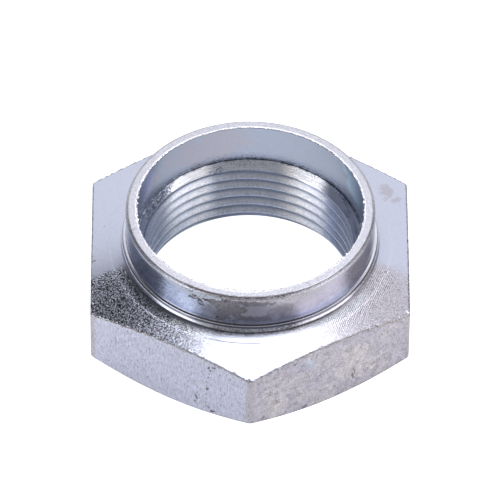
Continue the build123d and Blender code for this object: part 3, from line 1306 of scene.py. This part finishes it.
class FlatFinish(Finishing):
    """The six flats: drawn bar with upright streaks, small pits, scratches and cloudy plating."""

    name = "drawn_zinc"
    colour: Triple = (0.555, 0.575, 0.70)
    cloudy_colour: Triple = (0.525, 0.505, 0.585)
    beige_colour: Triple = (0.67, 0.64, 0.655)
    blue_colour: Triple = (0.52, 0.60, 0.74)
    worn_colour: Triple = (0.33, 0.30, 0.295)
    corner_colour: Triple = (0.46, 0.43, 0.45)
    dark_colour: Triple = (0.12, 0.11, 0.12)
    roughness: float = 0.42
    pits: tuple[Mark, ...] = wall_marks(
        (255.7, 11.86, 0.75, 0.38, 55, 1.0), (257.6, 12.30, 0.75, 0.55, 20, 1.0),
        (256.1, 11.25, 0.35, 0.6, 0, 0.9),
        (255.0, 6.7, 0.45, 0.6, 0, 1.0), (254.6, 5.3, 0.3, 0.3, 0, 0.7), (254.9, 8.2, 0.25, 0.35, 0, 0.7),
        (254.4, 4.3, 0.25, 0.3, 0, 0.7), (255.3, 9.4, 0.22, 0.4, 0, 0.6), (255.7, 10.4, 0.22, 0.3, 0, 0.8),
        (254.8, 7.4, 0.2, 0.3, 0, 0.8), (256.3, 9.0, 0.2, 0.25, 0, 0.6), (254.5, 3.4, 0.2, 0.3, 0, 0.8),
        (251.0, 4.9, 0.22, 0.4, 0, 0.7), (247.0, 5.2, 0.2, 0.3, 0, 0.5), (231.5, 10.4, 0.2, 0.3, 0, 0.5),
        (261.5, 4.0, 0.2, 0.3, 0, 0.5), (257.1, 1.95, 1.0, 0.55, 25, 1.0), (255.6, 2.5, 0.35, 0.5, 0, 0.7),
        (250.7, 3.75, 0.45, 1.1, 10, 0.95), (250.3, 2.7, 0.35, 0.8, 10, 0.9), (251.2, 6.2, 0.2, 0.6, 0, 0.5),
        (224.1, 11.9, 0.3, 0.4, 0, 0.6), (223.0, 12.3, 0.3, 0.3, 0, 0.6), (226.8, 4.9, 0.3, 0.3, 0, 0.5),
        (218.6, 9.0, 0.16, 2.6, 0, 0.6), (235.0, 8.0, 0.2, 0.3, 0, 0.45), (310.0, 5.0, 0.35, 1.4, 12, 0.8),
        (309.3, 4.0, 0.35, 1.4, 12, 0.8), (278.8, 5.3, 0.9, 0.7, 30, 0.5), (289.6, 1.45, 1.2, 0.6, 20, 0.7),
        (274.3, 3.0, 1.0, 0.6, 40, 0.5), (285.5, 12.4, 0.9, 0.5, 20, 0.6),
    )
    scratches: tuple[Mark, ...] = wall_marks(
        (313.3, 10.0, 0.20, 3.0, 24, 0.8), (312.2, 7.4, 0.20, 2.6, -16, 0.8),
        (313.6, 5.7, 1.7, 0.20, -15, 0.8), (317.0, 12.0, 2.6, 0.20, 22, 0.7),
        (322.0, 11.2, 2.6, 0.18, -18, 0.7), (324.5, 9.2, 0.18, 2.8, -12, 0.6),
        (323.8, 3.6, 2.4, 0.16, 30, 0.6), (300.0, 7.5, 2.6, 0.14, 30, 0.5), (304.0, 6.4, 0.14, 2.4, 30, 0.5),
        (296.0, 10.6, 3.6, 0.16, 8, 0.5), (240.5, 3.2, 2.4, 0.4, -32, 0.5), (228.0, 8.8, 0.4, 2.4, 35, 0.35),
    )
    beige: tuple[Mark, ...] = wall_marks(
        (309.0, 8.0, 6.0, 5.0, 0, 0.8), (312.0, 5.0, 8.0, 3.6, 0, 0.8), (279.0, 4.6, 5.0, 4.4, 0, 0.6),
        (276.0, 8.0, 3.0, 3.0, 0, 0.35),
    )
    blue: tuple[Mark, ...] = wall_marks((290.0, 11.2, 3.4, 2.2, 0, 0.8))

    def paint(self) -> None:
        """Sets how colour, roughness and relief vary over the surface."""
        sheet, body, radius = self.sheet, self.body, self.radius
        along, up, side = sheet.split(self.flat)
        slow = self.bumps(0.45)
        fine = self.bumps(4.5)
        dust = self.bumps(3.0)
        uneven = fine * 0.7 + self.bumps(2.2)
        streaks = self.effects.tool_marks.into(sheet, run=sheet.join(0.0, up * 0.04, side), across=along,
                                               length=1.0, pitch=0.24)["Groove"]
        dashes = self.bumps(1.0, sheet.join(along * 4.6, up * 1.3, side))
        right = sheet.split(self.position)[0].ramp(-0.5, 1.5)
        specks = dashes.ramp(0.12, 0.20) * (right * -0.5 + 1.0)
        scratched = self.marks(self.scratches, uneven * 0.7).ramp(0.1, 0.7) * self.grain(1.7, 5.0)[0]
        clouds = self.clouds(0.9, 0.44, 0.60)
        veins = abs(self.bumps(0.75)).ramp(0.035, 0.010)
        flecks = (clouds * 0.12 + dust).ramp(0.15, 0.24)
        corner = (uneven * 1.2 + (body.half_flat - abs(along))).ramp(1.25, 0.35)
        off_cone = body.cone_height(radius) - up
        off_chamfer = up - (radius - body.bearing_radius) * body.chamfer_slope
        worn = (uneven * -1.4 + off_cone).ramp(0.19, 0.08)
        worn = worn.most((uneven * -1.2 + off_chamfer).ramp(0.20, 0.06) * 0.6)
        dark = self.marks(self.pits, uneven).most(specks * 0.58).most(scratched * 0.45)
        dark = dark.most(flecks * right * 0.50).most(veins * right * 0.18)
        colour = sheet.cover(
            self.colour, (right, self.cloudy_colour), (self.marks(self.beige, slow) * 0.8, self.beige_colour),
            (self.clouds(0.28, 0.44, 0.58) * right * 0.40, self.beige_colour),
            (self.marks(self.blue, slow) * 0.6, self.blue_colour), (corner * 0.7, self.corner_colour),
            (worn * 0.9, self.worn_colour), (dark * 0.9, self.dark_colour),
        )
        shade = streaks * (right * -0.60 + 0.90) + 1.02 + fine * (right * 0.3 + 0.8)
        shade = shade - clouds * (right * 0.11 + 0.04)
        height = streaks * 0.006 + fine * 0.012 + dust * 0.02 - worn * 0.02 - dark * 0.05
        self.finish(colour, shade, fine * 0.15 + self.roughness, height)


class UndersideFinish(Finishing):
    """The bearing face, the lower chamfer and the countersink: faced, then plated."""

    name = "underside_zinc"
    colour: Triple = (0.56, 0.58, 0.68)
    roughness: float = 0.32

    def paint(self) -> None:
        """Sets how colour, roughness and relief vary over the surface."""
        fine_grain, fine = self.grain(3.6, 3.0)
        clouds = self.clouds(0.3, 0.4, 0.65)
        rings = self.rings(self.radius, 9.0, 0.16)
        shade = fine_grain * 0.20 + 0.82 + clouds * 0.08 + rings * 0.2
        self.finish(self.colour, shade, clouds * 0.06 + self.roughness, rings * 0.012 + fine * 0.010)


class CounterboreFinish(Finishing):
    """The wall inside the collar: bright, faintly tinted, with painted shade in its lower corner and a dark
    band just under the rim.
    """

    name = "counterbore_zinc"
    colour: Triple = (0.495, 0.55, 0.68)
    pink_colour: Triple = (0.535, 0.525, 0.615)
    blue_colour: Triple = (0.60, 0.80, 0.95)
    purple_colour: Triple = (0.62, 0.66, 0.96)
    # Colour of the painted shade in the lower corner and of the band under the rim.
    grime_and_shade_colour: Triple = (0.15, 0.19, 0.28)
    roughness: float = 0.26
    blues: tuple[Mark, ...] = wall_marks((21.0, 19.6, 6.6, 7.0, 0, 0.8))
    purples: tuple[Mark, ...] = wall_marks((157.0, 19.2, 6.2, 7.0, 0, 0.8))
    pinks: tuple[Mark, ...] = wall_marks((110.0, 18.8, 15.0, 7.0, 0, 0.8), (148.0, 18.4, 3.0, 2.6, 0, 0.9))

    def paint(self) -> None:
        """Sets how colour, roughness and relief vary over the surface."""
        height = self.height
        slow = self.bumps(0.35)
        ragged = self.bumps(2.4)
        fine_grain, fine = self.grain(4.5, 3.0)
        # Painted shade: dark in the lower corner by the floor, and darker towards the floor.
        low = ragged * 1.9 + height - self.body.counterbore_floor
        grime_and_shade = (low.ramp(0.60, 0.30) * fine.ramp(0.12, -0.08)).most(low.ramp(1.6, 0.4) * 0.30)
        # A ragged dark band just under the rim's inner edge.
        grime_and_shade = grime_and_shade.most((height + fine * 0.7).ramp(21.70, 21.88) * 0.6)
        colour = self.sheet.cover(
            self.colour, (self.marks(self.pinks, slow), self.pink_colour),
            (self.marks(self.blues, slow), self.blue_colour),
            (self.marks(self.purples, slow), self.purple_colour), (grime_and_shade * 0.9, self.grime_and_shade_colour),
        )
        relief = self.rings(height, 5.0, 0.14) * 0.003 + fine * 0.005
        self.finish(colour, fine_grain * 0.10 + 0.94, grime_and_shade * 0.2 + self.roughness, relief)


class LeadInFinish(Finishing):
    """The counterbore's floor and the lead-in above the thread: turned roughly, torn and pitted in places. It
    has painted highlight stripes, and painted shade over the floor beside the wall.
    """

    name = "lead_in_zinc"
    colour: Triple = (0.49, 0.53, 0.63)
    # Colour of the painted highlight stripes.
    bright_colour: Triple = (0.88, 0.89, 0.97)
    # Colour of the torn marks and of the painted shade on the floor.
    torn_and_shade_colour: Triple = (0.10, 0.12, 0.17)
    roughness: float = 0.25
    torn: tuple[Mark, ...] = top_marks(
        (150.0, 17.7, 9.5, 2.6, 0, 1.0), (108.0, 17.3, 2.0, 0.9, 0, 0.9), (90.0, 17.7, 9.0, 0.7, 0, 0.35),
        (23.0, 17.5, 2.0, 0.9, 0, 0.8), (30.0, 18.2, 9.0, 0.9, 0, 0.9),
    )

    def paint(self) -> None:
        """Sets how colour, roughness and relief vary over the surface."""
        ragged = self.bumps(1.1)
        coarse_grain, coarse = self.grain(2.8, 5.0)
        fine_grain, fine = self.grain(4.5, 3.0)
        rings = self.rings(self.radius, 4.0, 0.16)
        torn = self.marks(self.torn, ragged)
        # Painted shade: the counterbore's floor, out to the wall, is darkened in patches.
        floor_edge = self.body.lead_in_radius
        corner = (fine * 0.7 + self.radius).ramp(floor_edge - 0.18, floor_edge + 0.02)
        corner = corner * ragged.ramp(0.16, -0.06)
        dark = (torn * (1.0 - coarse_grain)).most(corner * 0.85)
        # Painted highlight: near-white stripes 5 to 14 mm either side of the bore's middle.
        across = self.off_middle()
        bright = across.ramp(5.0, 7.5) * across.ramp(14.0, 12.0)
        colour = self.sheet.cover(self.colour, (bright, self.bright_colour), (dark * 0.95, self.torn_and_shade_colour))
        self.stretch_gloss(0.6)
        height = rings * 0.014 + fine * 0.010 + torn * coarse * 0.11
        self.finish(colour, fine_grain * 0.22 + 0.86 + rings * 0.4, self.roughness, height)


class ThreadFinish(Finishing):
    """The thread's flanks: tapped, then plated, and a little rough. They have painted highlight stripes, and
    painted shade towards the roots.
    """

    name = "thread_zinc"
    colour: Triple = (0.64, 0.71, 0.85)
    # Colour of the painted highlight stripes.
    bright_colour: Triple = (0.91, 0.93, 1.0)
    warm_colour: Triple = (0.47, 0.495, 0.60)
    # Colour of the painted shade in the roots.
    grime_and_shade_colour: Triple = (0.17, 0.21, 0.30)
    roughness: float = 0.30

    def paint(self) -> None:
        """Sets how colour, roughness and relief vary over the surface."""
        y = self.sheet.split(self.position)[1]
        fine_grain, fine = self.grain(3.0, 4.0)
        # Painted highlight: near-white stripes 4.5 to 14.5 mm either side of the bore's middle.
        across = self.off_middle()
        bright = across.ramp(4.5, 8.0) * across.ramp(14.5, 12.0)
        # Painted shade: darker towards the thread's roots.
        deep = (fine * 0.2 + self.radius).ramp(17.26, 17.70)
        colour = self.sheet.cover(self.colour, (y.ramp(15.0, 17.5) * 0.8, self.warm_colour),
                                  (bright, self.bright_colour), (deep * 0.8, self.grime_and_shade_colour))
        self.stretch_gloss(0.7)
        shade = fine_grain * 0.24 + 0.80 + self.clouds(0.5, 0.38, 0.68) * 0.10
        self.finish(colour, shade, self.roughness, fine * 0.03)


@dataclass
class PhotographCamera:
    """The camera at the photograph's viewing angle. Lengths are in millimetres, angles in degrees.

    Attributes:
        elevation: angle above the floor.
        azimuth: turn round the nut. 0 looks along +Y.
        roll: turn of the picture.
        distance: from the camera to the point looked at.
        pixels_per_mm: scale of the picture at that point.
        target_height: height of that point above the floor, on the axis.
        target_pixel: where that point is in the picture.
    """

    elevation: float = 46.13
    azimuth: float = 0.643
    roll: float = 0.683
    distance: float = 1170.0
    pixels_per_mm: float = 6.0923
    target_height: float = 10.13
    target_pixel: Pair = (249.91, 258.49)

    def build(self) -> bpy.types.Object:
        """Makes the scene's camera.

        Returns:
            The camera.
        """
        elevation = math.radians(self.elevation)
        azimuth = math.radians(self.azimuth)
        level = Vector((math.cos(azimuth), -math.sin(azimuth), 0))
        back = Vector((-math.sin(azimuth), -math.cos(azimuth), 0))
        towards = math.cos(elevation) * back + Vector((0, 0, math.sin(elevation)))
        above = towards.cross(level)
        turn = math.radians(self.roll)
        right = math.cos(turn) * level + math.sin(turn) * above
        up = -math.sin(turn) * level + math.cos(turn) * above
        data = bpy.data.cameras.new("camera")
        camera = bpy.data.objects.new("camera", data)
        bpy.context.scene.collection.objects.link(camera)
        data.sensor_width = 36.0
        data.lens = self.pixels_per_mm * self.distance * data.sensor_width / IMAGE_SIDE
        middle = IMAGE_SIDE / 2
        aside = (middle - self.target_pixel[0]) / self.pixels_per_mm
        aloft = (self.target_pixel[1] - middle) / self.pixels_per_mm
        target = Vector((0, 0, self.target_height))
        place = (target + towards * self.distance + right * aside + up * aloft) * MM
        rows = [(right[axis], up[axis], towards[axis], place[axis]) for axis in range(3)]
        camera.matrix_world = Matrix((*rows, (0, 0, 0, 1)))
        data.clip_start = self.distance * MM / 100
        data.clip_end = self.distance * MM * 20
        bpy.context.scene.camera = camera
        return camera


@dataclass(frozen=True)
class Softbox:
    """A rectangular soft light.

    Attributes:
        name: the light's name.
        place: its middle, in metres from the nut.
        width: its level side, in metres.
        height: its other side, in metres.
        radiance: brightness as the nut mirrors it.
        faces: the point that the light faces, in metres.
    """

    name: str
    place: Triple
    width: float
    height: float
    radiance: float
    faces: Triple = (0.0, 0.0, 0.01)

    @classmethod
    def around(cls, name: str, azimuth: float, elevation: float, distance: float, *rest: float) -> "Softbox":
        """A softbox that faces the nut from a direction.

        Args:
            name: the light's name.
            azimuth: direction from the nut, in degrees from +X towards +Y.
            elevation: angle above the floor, in degrees.
            distance: from the nut, in metres.
            rest: width, height and radiance.

        Returns:
            The softbox.
        """
        turn = math.radians(azimuth)
        rise = math.radians(elevation)
        level = distance * math.cos(rise)
        place = (level * math.cos(turn), level * math.sin(turn), distance * math.sin(rise))
        return cls(name, place, *rest)

    def build(self) -> bpy.types.Object:
        """Makes the light.

        Returns:
            The light.
        """
        data = bpy.data.lights.new(self.name, "AREA")
        data.shape = "RECTANGLE"
        data.size = self.width
        data.size_y = self.height
        data.energy = self.radiance * math.pi * self.width * self.height
        light = bpy.data.objects.new(self.name, data)
        bpy.context.scene.collection.objects.link(light)
        light.location = self.place
        light.rotation_mode = "QUATERNION"
        light.rotation_quaternion = (Vector(self.place) - Vector(self.faces)).to_track_quat("Z", "Y")
        return light


@dataclass(frozen=True)
class RoomZone:
    """A part of the room round the nut, as the nut mirrors it.

    Attributes:
        colour: its brightness in red, green and blue.
        edges: its soft edges. Each has weights for a direction's X, Y and Z, its start and its full end.
    """

    colour: Triple
    edges: tuple[tuple[Triple, float, float], ...]


@dataclass
class Studio:
    """The pale floor, the room's walls and the soft lights. Distances on the floor are in metres."""

    floor_colour: Triple = (0.60, 0.60, 0.61)
    front_colour: Triple = (0.12, 0.12, 0.12)
    floor_side: float = 6.0
    floor_drop: float = 0.02 * MM
    floor_front: float = -0.08
    floor_glow: float = 0.43
    near_glow: float = 0.12
    near_reach: Pair = (0.050, 0.032)
    far_glow: float = 1.5
    far_reach: Pair = (0.048, 0.060)
    far_sides: tuple[tuple[Triple, float, float], ...] = (
        ((-0.857, -0.515, 0.0), 0.945, 0.975),
        ((0.883, -0.469, 0.0), 0.90, 0.94),
    )
    room: Triple = (0.06, 0.06, 0.07)
    zones: tuple[RoomZone, ...] = (
        RoomZone((0.22, 0.23, 0.27), (((0, 0, 1), 0.68, 0.50), ((1, 0, 0), -0.1, -0.4))),
        RoomZone((0.54, 0.52, 0.50), (((0, 1, 0), -0.30, -0.60),)),
        RoomZone((0.66, 0.64, 0.67), (((1, 0, 0), 0.05, 0.30), ((0, 0, 1), 0.60, 0.38),
                                      ((0, 1, 0), 0.65, 0.2))),
        RoomZone((0.95, 0.93, 0.93), (((1, 0, 0), 0.02, 0.14), ((0, 0, 1), 0.46, 0.64),
                                      ((0, 1, 0), 0.0, 0.2))),
        RoomZone((0.70, 0.70, 0.72), (((1, 0, 0), -0.36, -0.20), ((0, 0, 1), 0.75, 0.88),
                                      ((0, 1, 0), 0.05, 0.20))),
        RoomZone((1.05, 1.05, 1.07), (((0.12, 1.28, -1.0), -0.03, 0.03), ((0.67, 0.74, 0), -0.14, 0.12),
                                      ((-0.67, 0.74, 0), -0.14, 0.12))),
        RoomZone((1.5, 1.5, 1.55), (((0.065, 0.37, 0.926), 0.935, 0.99), ((1, 0, 0), 0.36, 0.16))),
    )
    lights: tuple[Softbox, ...] = (
        Softbox("light_over", (0.07, 0.40, 1.0), 0.36, 0.64, 3.2, (0.07, 0.40, 0.0)),
        Softbox.around("light_left", 211, 17, 0.9, 0.482, 0.62, 2.1),
        Softbox.around("light_right", 332, 17, 0.9, 0.746, 0.62, 1.6),
    )

    def build(self) -> None:
        """Makes the floor, the room and the lights."""
        self.lay_floor()
        self.paint_room()
        for light in self.lights:
            light.build()
        bpy.context.scene.view_settings.view_transform = "Standard"

    def lay_floor(self) -> None:
        """Lays the floor under the bearing face. The camera sees it white, and sees through it from below."""
        deselect_all()
        bpy.ops.mesh.primitive_plane_add(size=self.floor_side, location=(0, 0, CAD_LOW.z - self.floor_drop))
        floor = bpy.context.object
        floor.name = "floor"
        material = bpy.data.materials.new("pale_floor")
        material.use_nodes = True
        sheet = NodeSheet(material.node_tree)
        shader = sheet.tree.nodes["Principled BSDF"]
        shader.inputs["Roughness"].default_value = 0.9
        shader.inputs["Specular IOR Level"].default_value = 0.1
        place = sheet.add("ShaderNodeTexCoord").outputs["Object"]
        x, y = sheet.split(place)[:2]
        away = sheet.math("SQRT", x * x + y * y)
        in_front = y.ramp(self.floor_front, 3 * self.floor_front)
        sheet.put(sheet.mix(in_front, self.floor_colour, self.front_colour), shader.inputs["Base Color"])
        glow = (1.0 - in_front) * (away.ramp(*self.near_reach) * self.near_glow + self.floor_glow)
        for direction, start, full in self.far_sides:
            share = (sheet.dot(place, direction) / away).ramp(start, full) * away.ramp(*self.far_reach)
            glow = glow.most(share * self.far_glow)
        glow = glow.most(sheet.add("ShaderNodeLightPath").outputs["Is Camera Ray"])
        shader.inputs["Emission Color"].default_value = (1, 1, 1, 1)
        sheet.put(glow, shader.inputs["Emission Strength"])
        clear = sheet.add("ShaderNodeBsdfTransparent")
        either = sheet.add("ShaderNodeMixShader")
        sheet.put(sheet.add("ShaderNodeNewGeometry").outputs["Backfacing"], either.inputs[0])
        sheet.put(shader.outputs["BSDF"], either.inputs[1])
        sheet.put(clear.outputs["BSDF"], either.inputs[2])
        sheet.put(either.outputs["Shader"], sheet.tree.nodes["Material Output"].inputs["Surface"])
        floor.data.materials.append(material)

    def paint_room(self) -> None:
        """Paints each zone of the room on the world, in order."""
        world = bpy.data.worlds.new("studio")
        bpy.context.scene.world = world
        world.use_nodes = True
        sheet = NodeSheet(world.node_tree)
        background = sheet.tree.nodes["Background"]
        direction = sheet.add("ShaderNodeTexCoord").outputs["Generated"]
        colour = self.room
        for zone in self.zones:
            share = 1.0
            for weights, start, full in zone.edges:
                share = sheet.dot(direction, weights).ramp(start, full) * share
            colour = sheet.mix(share, colour, zone.colour)
        sheet.put(colour, background.inputs["Color"])
        background.inputs["Strength"].default_value = 1.0


def main() -> None:
    """Builds the camera, the nut and the studio in order."""
    logging.basicConfig(level=logging.INFO, format="%(name)s: %(message)s")
    PhotographCamera().build()
    body = NutBody()
    nut = body.build()
    effects = Effects()
    finishes = {
        Finish.CONE: ConeFinish,
        Finish.RIM: RimFinish,
        Finish.COLLAR: CollarFinish,
        Finish.FLATS: FlatFinish,
        Finish.UNDERSIDE: UndersideFinish,
        Finish.COUNTERBORE: CounterboreFinish,
        Finish.LEAD_IN: LeadInFinish,
        Finish.THREAD: ThreadFinish,
    }
    for finish in Finish:
        nut.data.materials.append(finishes[finish](effects, body).dress())
    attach(nut, "root")
    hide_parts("nut")
    LOG.info("nut: %d vertices, %d faces", len(nut.data.vertices), len(nut.data.polygons))
    Studio().build()


if __name__ == "__main__":
    main()
